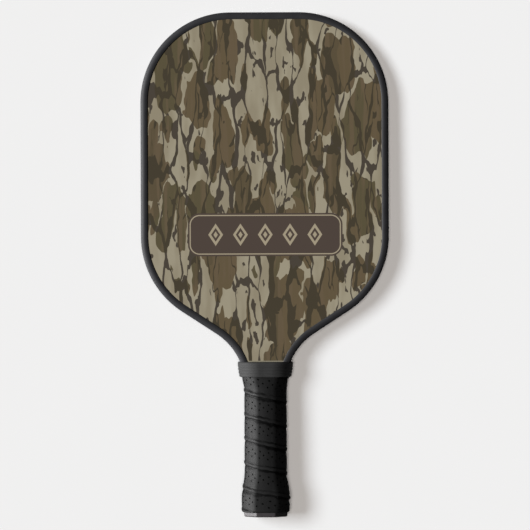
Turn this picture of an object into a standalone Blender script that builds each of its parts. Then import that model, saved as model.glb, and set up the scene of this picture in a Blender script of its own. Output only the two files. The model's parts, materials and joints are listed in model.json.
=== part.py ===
"""A pickleball paddle, lying flat with its front face up.

+Y runs from the butt to the top of the blade, +Z out of the front face. The
origin is the centre of the butt cap's flat end. The blade is a sandwich:
honeycomb core, fleece veils, fibreglass face sheets and printed films, with a
C-shaped guard round the rim. The core's tongue runs down the handle between two
shells, which the butt cap, the grip tape and the collar close.
"""

from math import asin, cos, pi, radians, sin, sqrt

import bmesh
import bpy

MM = 0.001

# Blade outline, along the outside of the edge guard
LENGTH = 406.9 * MM
BLADE_HALF = 100.0 * MM
CORNER_RADIUS = 72.5 * MM
SIDE_STRAIGHT = 108.0 * MM
FLANK_ANGLE = radians(33.1)
THROAT_RADIUS = 50.0 * MM
NECK_HALF = 16.5 * MM
CORNER_X = BLADE_HALF - CORNER_RADIUS
UPPER_Y = LENGTH - CORNER_RADIUS
LOWER_Y = UPPER_Y - SIDE_STRAIGHT
THROAT_X = NECK_HALF + THROAT_RADIUS
# The straight flank touches both arcs, which fixes the throat's height.
THROAT_Y = LOWER_Y + (
    (THROAT_X - CORNER_X) * sin(FLANK_ANGLE) - CORNER_RADIUS - THROAT_RADIUS
) / cos(FLANK_ANGLE)
THROAT_STEPS = 6
LOWER_STEPS = 7
UPPER_STEPS = 10

# Layers of the blade, from the middle plane outwards
BOND = 0.05 * MM
CORE_HALF = 6.5 * MM
VEIL = 0.2 * MM
SHEET = 0.5 * MM
FILM = 0.2 * MM
VEIL_Z = CORE_HALF + BOND
SHEET_Z = VEIL_Z + VEIL + BOND
FILM_Z = SHEET_Z + SHEET + BOND
FILM_TOP = FILM_Z + FILM
BOARD_INSET = 1.5 * MM
FILM_INSET = 1.7 * MM
FILM_START = 121.8 * MM
# The guard and the collar press the film's border down a little.
FILM_PRESSED = 0.05 * MM
FILM_FACE_INSET = 6.3 * MM
FILM_FACE_START = 125.4 * MM

# Honeycomb: hexagons measured across their flats
CELL_PITCH = 16.0 * MM
CELL_WALL = 0.6 * MM
CORE_RIM = 1.0 * MM

# Tongue of the board inside the handle
TONGUE_HALF = 11.0 * MM
TONGUE_START = 3.2 * MM
TONGUE_END = 104.9 * MM
SHOULDER_END = 109.0 * MM

# Edge guard: a C-channel that ends under the collar
GUARD_WALL = 1.3 * MM
GUARD_REACH = 5.6 * MM
GUARD_GAP = 0.1 * MM
GUARD_LIP = 0.8 * MM
GUARD_START = 117.0 * MM
LIP_UNDER = FILM_TOP + GUARD_GAP
LIP_OVER = LIP_UNDER + GUARD_LIP
# Round shoulder of the channel: how far in, and how far below the lip's top
GUARD_SHOULDER = (
    (GUARD_REACH, 0.4 * MM),
    (GUARD_REACH - 0.6 * MM, 0.0),
    (2.4 * MM, 0.0),
    (0.9 * MM, 0.65 * MM),
    (0.2 * MM, 1.75 * MM),
    (0.0, 3.4 * MM),
)

# Handle: eight-sided, half-width and half-thickness of the straight stretch
FIT = 0.3 * MM
HANDLE_HALF_WIDTH = 15.1 * MM
HANDLE_HALF_THICK = 13.6 * MM
HANDLE_CHAMFER = 8.4 * MM
HANDLE_START = 2.8 * MM
HANDLE_TOP = 116.2 * MM
FLARE_WIDE = 1.7 * MM
FLARE_THICK = 0.7 * MM
NOSE_HALF_WIDTH = 11.6 * MM
NOSE_START = 116.5 * MM
NOSE_END = 121.5 * MM

# Butt cap: a cup over the handle's end, with a flared skirt
CAP_PLATE = 2.5 * MM
CAP_SLIP = 0.15 * MM
CAP_TOP = 29.0 * MM
# Height above the butt, and growth over the handle on every side
CAP_SKIRT = (
    (0.0, 2.0 * MM),
    (0.6 * MM, 2.3 * MM),
    (5.0 * MM, 2.3 * MM),
    (12.0 * MM, 2.7 * MM),
    (18.0 * MM, 2.9 * MM),
    (21.5 * MM, 2.0 * MM),
    (26.0 * MM, 1.2 * MM),
    (CAP_TOP, 0.7 * MM),
)

# Cap staples, one on the front and one on the back
STAPLE_Y = 24.0 * MM
STAPLE_HALF_SPAN = 5.0 * MM
STAPLE_WIRE = 0.9 * MM
STAPLE_DEPTH = 0.6 * MM
STAPLE_CROWN_TOP = 14.9 * MM
STAPLE_CROWN = 0.5 * MM
STAPLE_TIP = 9.0 * MM
STAPLE_CLEAR = 0.15 * MM

# Grip tape, and the thin strip round its upper end
TAPE = 1.7 * MM
TAPE_GAP = 0.1 * MM
TAPE_START = 3.6 * MM
TAPE_END = 116.5 * MM
STRIP = 0.2 * MM
STRIP_GAP = 0.05 * MM
STRIP_START = 113.2 * MM
STRIP_END = 116.3 * MM

# Collar: height above the butt, half-width, half-thickness
COLLAR_START = 112.7 * MM
COLLAR_LIP_START = 122.3 * MM
COLLAR_END = 124.9 * MM
COLLAR_CHAMFER = 8.0 * MM
COLLAR_OUTSIDE = (
    (COLLAR_START, 20.6 * MM, 17.5 * MM),
    (113.2 * MM, 20.9 * MM, 17.9 * MM),
    (115.0 * MM, 21.4 * MM, 18.2 * MM),
    (118.0 * MM, 21.9 * MM, 18.3 * MM),
    (122.0 * MM, 22.3 * MM, 18.0 * MM),
    (124.3 * MM, 22.3 * MM, 17.2 * MM),
    (COLLAR_END, 21.8 * MM, 16.6 * MM),
)
COLLAR_INSIDE = (
    (COLLAR_START - 2 * MM, 19.3 * MM, 16.7 * MM),
    (COLLAR_START, 19.4 * MM, 16.8 * MM),
    (116.8 * MM, 20.0 * MM, 17.0 * MM),
    (COLLAR_LIP_START, 20.1 * MM, 16.4 * MM),
)
COLLAR_SLACK = 0.35 * MM


def clear_scene():
    """Removes whatever the file holds, so that only this model is left."""
    for old in list(bpy.data.objects):
        bpy.data.objects.remove(old, do_unlink=True)


def material(name, colour, roughness, metallic=0.0):
    """A Principled material with one plain colour."""
    made = bpy.data.materials.new(name)
    made.use_nodes = True
    shader = made.node_tree.nodes["Principled BSDF"]
    shader.inputs["Base Color"].default_value = (*colour, 1.0)
    shader.inputs["Roughness"].default_value = roughness
    shader.inputs["Metallic"].default_value = metallic
    return made


def add_object(name, mesh, finish=None):
    """Links a mesh under the paddle's empty and gives it a material."""
    made = bpy.data.objects.new(name, mesh)
    bpy.context.scene.collection.objects.link(made)
    made.parent = bpy.data.objects["paddle"]
    if finish is not None and not mesh.materials:
        mesh.materials.append(finish)
    return made


def mesh_from(name, points, faces):
    """A closed mesh with its faces turned outwards."""
    shape = bmesh.new()
    corners = [shape.verts.new(point) for point in points]
    for face in faces:
        shape.faces.new([corners[index] for index in face])
    bmesh.ops.recalc_face_normals(shape, faces=shape.faces)
    mesh = bpy.data.meshes.new(name)
    shape.to_mesh(mesh)
    shape.free()
    return mesh


def helper(name, mesh):
    """A cutter: it shapes other pieces and isn't part of the paddle."""
    made = add_object(name, mesh)
    made.hide_render = True
    made.display_type = "WIRE"
    return made


def combine(target, other, operation="DIFFERENCE"):
    """Adds an exact Boolean to the target."""
    step = target.modifiers.new(other.name, "BOOLEAN")
    step.object = other
    step.operation = operation
    step.solver = "EXACT"


def arc(centre_x, centre_y, radius, start, end, steps):
    """Points along an arc, both ends included."""
    turns = [start + (end - start) * index / steps for index in range(steps + 1)]
    return [(centre_x + radius * cos(a), centre_y + radius * sin(a)) for a in turns]


def throat_angle(inset, y):
    """Angle up the throat's arc, from its narrowest point, where it reaches y."""
    return asin((y - THROAT_Y) / (THROAT_RADIUS + inset))


def guard_half_width(y):
    """Half the paddle's width in the throat, over the edge guard."""
    return THROAT_X - sqrt(THROAT_RADIUS**2 - (y - THROAT_Y) ** 2)


def blade_edge(inset, start_angle):
    """The blade's right-hand edge, from the throat to the top's straight."""
    throat = arc(
        THROAT_X,
        THROAT_Y,
        THROAT_RADIUS + inset,
        pi - start_angle,
        pi / 2 + FLANK_ANGLE,
        THROAT_STEPS,
    )
    radius = CORNER_RADIUS - inset
    lower = arc(CORNER_X, LOWER_Y, radius, FLANK_ANGLE - pi / 2, 0, LOWER_STEPS)
    upper = arc(CORNER_X, UPPER_Y, radius, 0, pi / 2, UPPER_STEPS)
    return throat + lower + upper


def both_sides(edge):
    """A closed outline from its right-hand edge, listed from the bottom up."""
    return edge + [(-x, y) for x, y in reversed(edge)]


def board_outline(trim=0.0):
    """Blade with its tongue, as the core, veils and face sheets are cut."""
    inset = BOARD_INSET + trim
    tongue = TONGUE_HALF - trim
    edge = [(tongue, TONGUE_START + trim), (tongue, TONGUE_END + trim)]
    edge += blade_edge(inset, throat_angle(inset, SHOULDER_END + trim))
    return both_sides(edge)


def film_outline(inset, start):
    """The printed film covers the blade only, down to the collar."""
    return both_sides(blade_edge(inset, throat_angle(inset, start)))


def prism(name, outline, height):
    """An outline in XY, raised from z = 0 to the height."""
    count = len(outline)
    points = [(x, y, 0.0) for x, y in outline]
    points += [(x, y, height) for x, y in outline]
    faces = [tuple(range(count)), tuple(range(count, 2 * count))]
    for index in range(count):
        after = (index + 1) % count
        faces.append((index, after, after + count, index + count))
    return mesh_from(name, points, faces)


def loft(name, rings):
    """A solid through rings of equally many points, flat at both ends."""
    count = len(rings[0])
    points = [point for ring in rings for point in ring]
    faces = [tuple(range(count)), tuple(range(len(points) - count, len(points)))]
    for base in range(0, len(points) - count, count):
        for index in range(count):
            after = (index + 1) % count
            low, high = base + index, base + after
            faces.append((low, high, high + count, low + count))
    return mesh_from(name, points, faces)


def octagon(y, half_width, half_thick, chamfer):
    """Eight corners across the handle at y, with chamfers at 45 degrees."""
    flat_x = half_width - chamfer
    flat_z = half_thick - chamfer
    quarter = [(half_width, flat_z), (flat_x, half_thick)]
    upper = quarter + [(-x, z) for x, z in reversed(quarter)]
    lower = [(-x, -z) for x, z in upper]
    return [(x, y, z) for x, z in upper + lower]


def tape_stations():
    """Inside of the grip tape: over the cap, along the handle, over the board.
    Each is y, and how much wider and thicker than the handle on one side."""
    on_cap = [
        (y, grow + TAPE_GAP, grow + TAPE_GAP)
        for y, grow in CAP_SKIRT
        if y > TAPE_START
    ]
    return [
        (TAPE_START, *on_cap[0][1:]),
        *on_cap,
        (CAP_TOP + 3 * MM, TAPE_GAP, TAPE_GAP),
        (TONGUE_END, TAPE_GAP, TAPE_GAP),
        (SHOULDER_END, FLARE_WIDE + TAPE_GAP, FLARE_THICK + TAPE_GAP),
        (TAPE_END, FLARE_WIDE + 0.8 * MM, FLARE_THICK + 0.6 * MM),
    ]


def tape_station(y):
    """The inside of the tape over the board, at any y."""
    (y0, *low), (y1, *high) = tape_stations()[-2:]
    share = (y - y0) / (y1 - y0)
    return (y, *[a + (b - a) * share for a, b in zip(low, high)])


def through(stations):
    """The same stations, run past both ends so that a cutter goes through."""
    past = 2 * MM
    first, last = stations[0], stations[-1]
    return [(first[0] - past, *first[1:]), *stations, (last[0] + past, *last[1:])]


def handle_rings(stations, wall=0.0):
    """The handle's octagon at each station, moved out by a wall thickness."""
    chamfer = HANDLE_CHAMFER + wall * (2 - sqrt(2))
    return [
        octagon(
            y, HANDLE_HALF_WIDTH + wide + wall, HANDLE_HALF_THICK + thick + wall, chamfer
        )
        for y, wide, thick in stations
    ]


def cell_cutter():
    """Every honeycomb cell as a hexagonal prism, through the whole board."""
    shape = bmesh.new()
    row_step = CELL_PITCH * sqrt(3) / 2
    corner = (CELL_PITCH - CELL_WALL) / sqrt(3)
    columns = int(BLADE_HALF / CELL_PITCH) + 1
    for row in range(int(LENGTH / row_step) + 1):
        for column in range(-columns, columns + 1):
            centre_x = (column + 0.5 * (row % 2)) * CELL_PITCH
            centre_y = (row + 0.5) * row_step
            turns = [pi / 6 + index * pi / 3 for index in range(6)]
            hexagon = [
                shape.verts.new(
                    (centre_x + corner * cos(a), centre_y + corner * sin(a), -1 * MM)
                )
                for a in turns
            ]
            base = shape.faces.new(hexagon)
            raised = bmesh.ops.extrude_face_region(shape, geom=[base])
            tops = [v for v in raised["geom"] if isinstance(v, bmesh.types.BMVert)]
            height = 2 * CORE_HALF + 2 * MM
            bmesh.ops.translate(shape, vec=(0, 0, height), verts=tops)
    bmesh.ops.recalc_face_normals(shape, faces=shape.faces)
    mesh = bpy.data.meshes.new("cells")
    shape.to_mesh(mesh)
    shape.free()
    return mesh


def make_core(finish):
    """Honeycomb with a thin solid rim, its cells open on both faces."""
    core = add_object(
        "honeycomb_core", prism("core", board_outline(), 2 * CORE_HALF), finish
    )
    cells = helper("cells", cell_cutter())
    field = helper("cell_field", prism("field", board_outline(CORE_RIM), 4 * CORE_HALF))
    core.location.z = -CORE_HALF
    cells.location.z = -CORE_HALF
    field.location.z = -2 * CORE_HALF
    combine(cells, field, "INTERSECT")
    combine(core, cells)


def make_layers(kind, sheet, low, finish):
    """The same sheet on the front and, turned over, on the back of the board."""
    front = add_object("front_" + kind, sheet, finish)
    front.location.z = low
    back = add_object("back_" + kind, sheet)
    back.location.z = -low
    back.rotation_euler.y = pi


def film_mesh():
    """A film whose border is pressed down under the guard and the collar."""
    border = film_outline(FILM_INSET, FILM_START)
    face = film_outline(FILM_FACE_INSET, FILM_FACE_START)
    levels = (
        (border, 0.0),
        (border, FILM - FILM_PRESSED),
        (face, FILM - FILM_PRESSED),
        (face, FILM),
    )
    return loft("print_film", [[(x, y, z) for x, y in flat] for flat, z in levels])


def guard_section():
    """(distance in from the outside, z) round the C-channel's section."""
    upper = [(GUARD_REACH, LIP_UNDER)]
    upper += [(inset, LIP_OVER - drop) for inset, drop in GUARD_SHOULDER]
    outside = upper + [(inset, -z) for inset, z in reversed(upper)]
    return outside + [(GUARD_WALL, -LIP_UNDER), (GUARD_WALL, LIP_UNDER)]


def make_guard(finish):
    """The channel swept round the rim, from one side of the throat to the other."""
    start = throat_angle(0.0, GUARD_START)
    runs = [
        [(x, y, z) for x, y in both_sides(blade_edge(inset, start))]
        for inset, z in guard_section()
    ]
    rings = [list(ring) for ring in zip(*runs)]
    add_object("edge_guard", loft("guard", rings), finish)


def staple_outline(clear, crown_top):
    """U in XZ: a crown across the top and a leg down each side."""
    outer = STAPLE_HALF_SPAN + clear
    inner = STAPLE_HALF_SPAN - STAPLE_WIRE - clear
    tip = STAPLE_TIP - clear
    under = STAPLE_CROWN_TOP - STAPLE_CROWN - clear
    right = [(outer, crown_top), (outer, tip), (inner, tip), (inner, under)]
    return right + [(-x, z) for x, z in reversed(right)]


def staple_mesh(name, clear, crown_top):
    """The U given its depth along the handle."""
    half = STAPLE_DEPTH / 2 + clear
    flat = staple_outline(clear, crown_top)
    return loft(name, [[(x, y, z) for x, z in flat] for y in (-half, half)])


def make_staples(finish):
    """Front and back staples, and the slots that they sit in."""
    wire = staple_mesh("staple", 0.0, STAPLE_CROWN_TOP)
    slot = staple_mesh("staple_slot", STAPLE_CLEAR, STAPLE_CROWN_TOP + 3 * MM)
    slots = []
    for side, turn in (("front", 0.0), ("back", pi)):
        staple = add_object("butt_cap_staple_" + side, wire, finish)
        cutter = helper("staple_slot_" + side, slot)
        slots.append(cutter)
        for placed in (staple, cutter):
            placed.location.y = STAPLE_Y
            placed.rotation_euler.y = turn
    return slots


def make_handle_halves(finish, slots):
    """Two shells that close round the tongue and carry on over the blade."""
    stations = (
        (HANDLE_START, 0.0, 0.0),
        (TONGUE_END, 0.0, 0.0),
        (SHOULDER_END, FLARE_WIDE, FLARE_THICK),
        (HANDLE_TOP, FLARE_WIDE, FLARE_THICK),
    )
    rings = handle_rings(stations)
    nose_chamfer = HANDLE_CHAMFER - 2 * MM
    rings.append(
        octagon(NOSE_START, NOSE_HALF_WIDTH, HANDLE_HALF_THICK, nose_chamfer)
    )
    rings.append(
        octagon(NOSE_END, NOSE_HALF_WIDTH, HANDLE_HALF_THICK - 2 * MM, nose_chamfer)
    )
    body = loft("handle", rings)
    over = SHEET_Z + SHEET + 0.1 * MM
    beyond = 30 * MM
    space_edge = [
        (TONGUE_HALF + FIT, -1 * MM),
        (TONGUE_HALF + FIT, TONGUE_END - FIT),
        (beyond, TONGUE_END - FIT),
        (beyond, NOSE_END + beyond),
    ]
    space = helper("board_space", prism("board_space", both_sides(space_edge), 2 * over))
    space.location.z = -over
    block = both_sides([(beyond, -1 * MM), (beyond, NOSE_END + beyond)])
    for side, low in (("front", -beyond + BOND), ("back", -BOND)):
        half = add_object(side + "_handle_half", body, finish)
        away = helper("other_half_" + side, prism("other_half", block, beyond))
        away.location.z = low
        combine(half, away)
        combine(half, space)
        for slot in slots:
            combine(half, slot)


def make_butt_cap(finish, slots):
    """A cup with a closed end and a flared skirt."""
    skirt = [(y, grow, grow) for y, grow in CAP_SKIRT]
    cap = add_object("butt_cap", loft("cap", handle_rings(skirt)), finish)
    ends = (CAP_PLATE, CAP_TOP + 2 * MM)
    hollow = [(y, CAP_SLIP, CAP_SLIP) for y in ends]
    combine(cap, helper("cap_hollow", loft("cap_hollow", handle_rings(hollow))))
    for slot in slots:
        combine(cap, slot)


def make_grip_tape(finish):
    """The wound tape as one eight-sided sleeve."""
    stations = tape_stations()
    tape = add_object("grip_tape", loft("tape", handle_rings(stations, TAPE)), finish)
    bore = loft("tape_bore", handle_rings(through(stations)))
    combine(tape, helper("tape_bore", bore))


def make_finishing_tape(finish):
    """A thin strip round the upper end of the grip tape."""
    under = [tape_station(y) for y in (STRIP_START, STRIP_END)]
    inner_wall = TAPE + STRIP_GAP
    strip = loft("strip", handle_rings(under, inner_wall + STRIP))
    taped = add_object("finishing_tape", strip, finish)
    bore = loft("strip_bore", handle_rings(through(under), inner_wall))
    combine(taped, helper("strip_bore", bore))


def blade_opening(y):
    """The blade's section at y, with clearance, as the collar's lip is cut."""
    outer = guard_half_width(y) + COLLAR_SLACK
    over = LIP_OVER + COLLAR_SLACK
    # The throat runs at a slant to the collar, so the lip measures wider across it.
    lip_inner = guard_half_width(y) - 1.07 * GUARD_REACH - COLLAR_SLACK
    quarter = [
        (outer, over - 2.2 * MM),
        (outer - 0.6 * MM, over - 0.8 * MM),
        (outer - 2.0 * MM, over),
        (lip_inner, over),
        (lip_inner - FIT, FILM_TOP + FIT),
    ]
    upper = quarter + [(-x, z) for x, z in reversed(quarter)]
    lower = [(-x, -z) for x, z in upper]
    return [(x, y, z) for x, z in upper + lower]


def make_collar(finish):
    """A rubber ring: wide at the blade, with a lip that closes round it."""
    outside = [octagon(*station, COLLAR_CHAMFER) for station in COLLAR_OUTSIDE]
    inside = [octagon(*station, COLLAR_CHAMFER) for station in COLLAR_INSIDE]
    collar = add_object("grip_collar", loft("collar", outside), finish)
    combine(collar, helper("collar_bore", loft("collar_bore", inside)))
    reach = (COLLAR_LIP_START - 1 * MM, COLLAR_END + 1 * MM)
    slot = loft("blade_slot", [blade_opening(y) for y in reach])
    combine(collar, helper("blade_slot", slot))


def build():
    """Makes every piece of the paddle."""
    clear_scene()
    paddle = bpy.data.objects.new("paddle", None)
    bpy.context.scene.collection.objects.link(paddle)

    make_core(material("natural_polypropylene", (0.80, 0.80, 0.76), 0.45))
    board = board_outline()
    fleece = material("polyester_fleece", (0.86, 0.86, 0.84), 0.9)
    make_layers("veil", prism("veil", board, VEIL), VEIL_Z, fleece)
    laminate = material("fibreglass_laminate", (0.16, 0.17, 0.15), 0.4)
    make_layers("face_sheet", prism("sheet", board, SHEET), SHEET_Z, laminate)
    printed = material("printed_film", (0.12, 0.09, 0.05), 0.5)
    make_layers("print_film", film_mesh(), FILM_Z, printed)
    make_guard(material("guard_plastic", (0.03, 0.03, 0.032), 0.45))

    slots = make_staples(material("staple_steel", (0.62, 0.62, 0.63), 0.3, 1.0))
    make_handle_halves(material("rigid_foam", (0.70, 0.62, 0.45), 0.8), slots)
    make_butt_cap(material("cap_plastic", (0.06, 0.058, 0.06), 0.5), slots)
    make_grip_tape(material("cushion_tape", (0.03, 0.03, 0.03), 0.75))
    make_finishing_tape(material("vinyl_strip", (0.02, 0.02, 0.02), 0.4))
    make_collar(material("collar_rubber", (0.03, 0.03, 0.033), 0.6))


build()
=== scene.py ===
# %% [markdown]
# # A pickleball paddle, dressed for its portrait
# The CAD model already holds every solid of the paddle: core, face sheets, films, rim
# guard, handle shells, butt cap, tape and collar. Here each piece that shows gets its
# real surface. Some solids are right as they are and only need a finish. Others, such as
# the wound tape, are made again in finer detail and stand in for their plain solid.
# The frame lies flat: +Y runs from the butt to the top of the blade, and +Z comes out
# of the front face.

# %% Load the CAD frame
import json
import math

import bmesh
import bpy
import numpy as np
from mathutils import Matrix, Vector

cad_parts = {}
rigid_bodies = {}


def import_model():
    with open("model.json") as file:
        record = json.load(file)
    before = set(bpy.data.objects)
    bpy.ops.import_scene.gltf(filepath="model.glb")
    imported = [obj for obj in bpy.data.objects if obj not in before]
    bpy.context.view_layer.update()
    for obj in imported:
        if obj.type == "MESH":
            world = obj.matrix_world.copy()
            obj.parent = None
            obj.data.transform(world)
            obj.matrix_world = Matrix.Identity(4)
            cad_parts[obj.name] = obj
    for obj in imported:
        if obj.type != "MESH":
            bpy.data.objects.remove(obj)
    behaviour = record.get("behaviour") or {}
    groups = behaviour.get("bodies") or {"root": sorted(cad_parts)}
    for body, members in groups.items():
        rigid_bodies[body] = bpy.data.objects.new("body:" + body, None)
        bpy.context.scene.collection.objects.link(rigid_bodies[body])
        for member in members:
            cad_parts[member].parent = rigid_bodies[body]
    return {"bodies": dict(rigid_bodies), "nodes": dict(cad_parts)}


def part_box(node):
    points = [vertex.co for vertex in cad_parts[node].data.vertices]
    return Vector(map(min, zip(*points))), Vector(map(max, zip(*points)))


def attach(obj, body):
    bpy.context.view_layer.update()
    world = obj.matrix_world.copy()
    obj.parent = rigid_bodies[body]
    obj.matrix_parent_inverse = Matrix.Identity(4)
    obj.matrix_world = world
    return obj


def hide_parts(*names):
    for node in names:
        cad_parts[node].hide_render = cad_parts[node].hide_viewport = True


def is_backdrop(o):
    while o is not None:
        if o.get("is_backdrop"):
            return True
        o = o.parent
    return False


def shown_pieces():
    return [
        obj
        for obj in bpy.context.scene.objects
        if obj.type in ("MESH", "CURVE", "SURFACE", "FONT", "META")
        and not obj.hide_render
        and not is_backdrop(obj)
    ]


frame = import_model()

MM = 0.001
BODY = next(iter(frame["bodies"]))
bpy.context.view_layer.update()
print(f"{len(frame['nodes'])} solids on body {BODY}")

# %% [markdown]
# ## Small tools
# Colours are written as the hex values a paint chart gives, and one function turns them
# to the linear values that the shaders want. A second function adds any shader or
# geometry node with its settings and its links, so a material reads as a short list.
# A third starts a material from the two numbers every finish has: colour and roughness.
# The last one hands a finished mesh over in place of its plain CAD solid.

# %% Tools for colours, nodes and finished pieces
# The node kinds that are used most, under shorter names
MATH, MIX, RANGE = "ShaderNodeMath", "ShaderNodeMix", "ShaderNodeMapRange"
NOISE, MAPPING = "ShaderNodeTexNoise", "ShaderNodeMapping"


def linear(colour):
    """An sRGB hex colour as linear red, green, blue and alpha."""
    parts = [int(colour[i : i + 2], 16) / 255 for i in (1, 3, 5)]
    return (
        *[p / 12.92 if p <= 0.04045 else ((p + 0.055) / 1.055) ** 2.4 for p in parts],
        1.0,
    )


def add(tree, kind, inputs=None, out=None, **settings):
    """Adds a node. An input given as a socket is linked, and a value is set. Gives back
    the output that out names, or the whole node where it names none."""
    node = tree.nodes.new(kind)
    for name, value in settings.items():
        setattr(node, name, value)
    for name, value in (inputs or {}).items():
        if isinstance(value, bpy.types.NodeSocket):
            tree.links.new(value, node.inputs[name])
        else:
            node.inputs[name].default_value = value
    return node if out is None else node.outputs[out]


def start_finish(name, colour, roughness, **on_shader):
    """A material, its node tree and its Principled shader."""
    material = bpy.data.materials.new(name)
    material.use_nodes = True
    shader = material.node_tree.nodes["Principled BSDF"]
    shader.inputs["Base Color"].default_value = linear(colour)
    shader.inputs["Roughness"].default_value = roughness
    for socket, value in on_shader.items():
        shader.inputs[socket.replace("_", " ")].default_value = value
    return material, material.node_tree, shader


def stand_in(name, mesh, material, node):
    """Puts a finished mesh in the scene, in place of its CAD solid."""
    piece = bpy.data.objects.new(name, mesh)
    bpy.context.scene.collection.objects.link(piece)
    if not mesh.materials:
        mesh.materials.append(material)
    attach(piece, BODY)
    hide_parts(node)
    size = [round(length / MM, 1) for length in piece.dimensions]
    print(f"{name}: {len(mesh.polygons)} faces, {size} mm")
    return piece


print(f"mid grey #808080 is {linear('#808080')[0]:.3f} in linear light")

# %% [markdown]
# ## Walking round the handle
# The collar, the butt cap and the tape are all eight-sided tubes with rounded corners.
# Such a tube could be a cylinder that is pushed into shape, but a list of rings is
# easier to steer: each ring has the same eight sides at another height, with its own
# width and thickness. One function walks round those sides, so that a point keeps its
# share of each side from ring to ring and the faces stay even.

# %% Points round the eight-sided handle
ROOT = math.sqrt(0.5)
TURN = math.radians(45)
# Half-width, half-thickness, chamfer and corner radius of the wound handle
WOUND = (16.9 * MM, 15.4 * MM, 9.4 * MM, 6.5 * MM)


def flats_of(half_width, half_thick, chamfer, corner):
    """Distance out, start and end of the flat of each side, from the left side over
    the front, the right and the back to the left side again."""
    slant = (half_width + half_thick - chamfer) * ROOT
    out = [v - corner for v in (half_width, slant, half_thick, slant)]
    flats = []
    for side in range(9):
        here, before, after = (out[(side + step) % 4] for step in (0, -1, 1))
        flats.append((here, here - before / ROOT, after / ROOT - here))
    return flats


def share_round(places):
    """Which side or corner each place is on, how far along it, and the length of the
    whole way round."""
    lengths = []
    for number, (_, start, end) in enumerate(flats_of(*WOUND)):
        lengths += [(end - start) / (2 if number in (0, 8) else 1), WOUND[3] * TURN]
    marks = np.cumsum([0.0] + lengths[:-1])
    where = np.mod(places, 1.0) * marks[-1]
    index = np.clip(np.searchsorted(marks, where, side="right") - 1, 0, 16)
    return index, (where - marks[index]) / np.diff(marks)[index], marks[-1]


def round_ring(places, half_width, half_thick, chamfer, corner, lift=0.0, crown=0.0):
    """x and z at each place, counted from 0 to 1 round the ring. Every size may be one
    number or one for each place. crown is how far a flat bows out in its middle."""
    places = np.asarray(places, float)
    index, along, _ = share_round(places)
    # Even numbers are sides, and odd ones the corners that follow them.
    side, on_corner = index // 2, index % 2 == 1
    flats = np.array(
        [
            [np.broadcast_to(v, places.shape) for v in flat]
            for flat in flats_of(half_width, half_thick, chamfer, corner)
        ]
    )
    out, start, end = flats[side, :, np.arange(len(places))].T
    half, middle = (end - start) / 2, (end + start) / 2
    start, end = np.where(side == 0, 0.0, start), np.where(side == 8, 0.0, end)
    angle = math.pi - side * TURN
    facing = angle - np.where(on_corner, along * TURN, 0.0)
    far = np.where(on_corner, end, start + (end - start) * along)
    reach = corner + lift + crown * (1 - ((far - middle) / half) ** 2)
    x = out * np.cos(angle) + far * np.sin(angle) + reach * np.cos(facing)
    z = out * np.sin(angle) - far * np.cos(angle) + reach * np.sin(facing)
    return x, z


def face_outwards(mesh, smooth_below=40):
    """Points every face outwards, and shades it smooth but for real edges."""
    work = bmesh.new()
    work.from_mesh(mesh)
    bmesh.ops.recalc_face_normals(work, faces=work.faces)
    if work.calc_volume(signed=True) < 0:
        bmesh.ops.reverse_faces(work, faces=work.faces)
    for face in work.faces:
        face.smooth = True
    for edge in work.edges:
        if len(edge.link_faces) == 2:
            edge.smooth = edge.calc_face_angle() < math.radians(smooth_below)
    work.to_mesh(mesh)
    work.free()
    mesh.update()


def tube(name, rings, joined=False):
    """A closed mesh from rings. joined runs the last ring into the first, as on a band
    with a hole through it; otherwise both ends are closed to a point."""
    count = len(rings[0])
    points = [tuple(p) for ring in rings for p in ring]
    faces = []
    for row in range(len(rings) if joined else len(rings) - 1):
        here, there = row * count, (row + 1) % len(rings) * count
        for i in range(count):
            j = (i + 1) % count
            faces.append((here + i, here + j, there + j, there + i))
    if not joined:
        for first in (0, (len(rings) - 1) * count):
            points.append(tuple(np.mean(points[first : first + count], axis=0)))
            faces += [
                (first + i, first + (i + 1) % count, len(points) - 1) for i in range(count)
            ]
    mesh = bpy.data.meshes.new(name)
    mesh.from_pydata(points, [], faces)
    face_outwards(mesh)
    return mesh


TRIP = share_round([0.0])[2]
print(f"one trip round the wound handle: {TRIP / MM:.1f} mm")

# %% [markdown]
# ## Tools for finishes
# Every pattern below is laid out in millimetres on the piece itself, so its size can be
# checked against the real thing: a grain of 0.5 mm is a grain of 0.5 mm.

# %% Patterns in millimetres
def in_millimetres(tree, shift=(0.0, 0.0, 0.0)):
    """The piece's own coordinates in millimetres, moved by shift."""
    place = add(tree, "ShaderNodeTexCoord", out="Object")
    return add(tree, MAPPING, {"Vector": place, "Scale": (1 / MM,) * 3, "Location": shift}, 0)


def vary(tree, shader, factor, colours, roughnesses):
    """Runs the colour and the roughness between two values each."""
    ends = {6: linear(colours[0]), 7: linear(colours[1])}
    colour = add(tree, MIX, {0: factor, **ends}, 2, data_type="RGBA")
    tree.links.new(colour, shader.inputs["Base Color"])
    low, high = roughnesses
    rough = add(tree, RANGE, {"Value": factor, "To Min": low, "To Max": high}, 0)
    tree.links.new(rough, shader.inputs["Roughness"])


def moulded_skin(tree, shader, blotch, colours, roughnesses, spark, depth):
    """The skin of a moulded or cast piece: blotches of colour and gloss about blotch mm
    across, and a relief depth mm deep whose lumps are about spark mm across."""
    place = in_millimetres(tree)
    slow = add(tree, NOISE, {"Vector": place, "Scale": 1 / blotch, "Detail": 3.0}, 0)
    vary(tree, shader, slow, colours, roughnesses)
    fine = add(tree, NOISE, {"Vector": place, "Scale": 1 / spark, "Detail": 2.0}, 0)
    bump = {"Height": fine, "Distance": depth * MM, "Strength": 1.0}
    tree.links.new(add(tree, "ShaderNodeBump", bump, 0), shader.inputs["Normal"])


print(f"one unit of every pattern is {MM} m")

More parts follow.
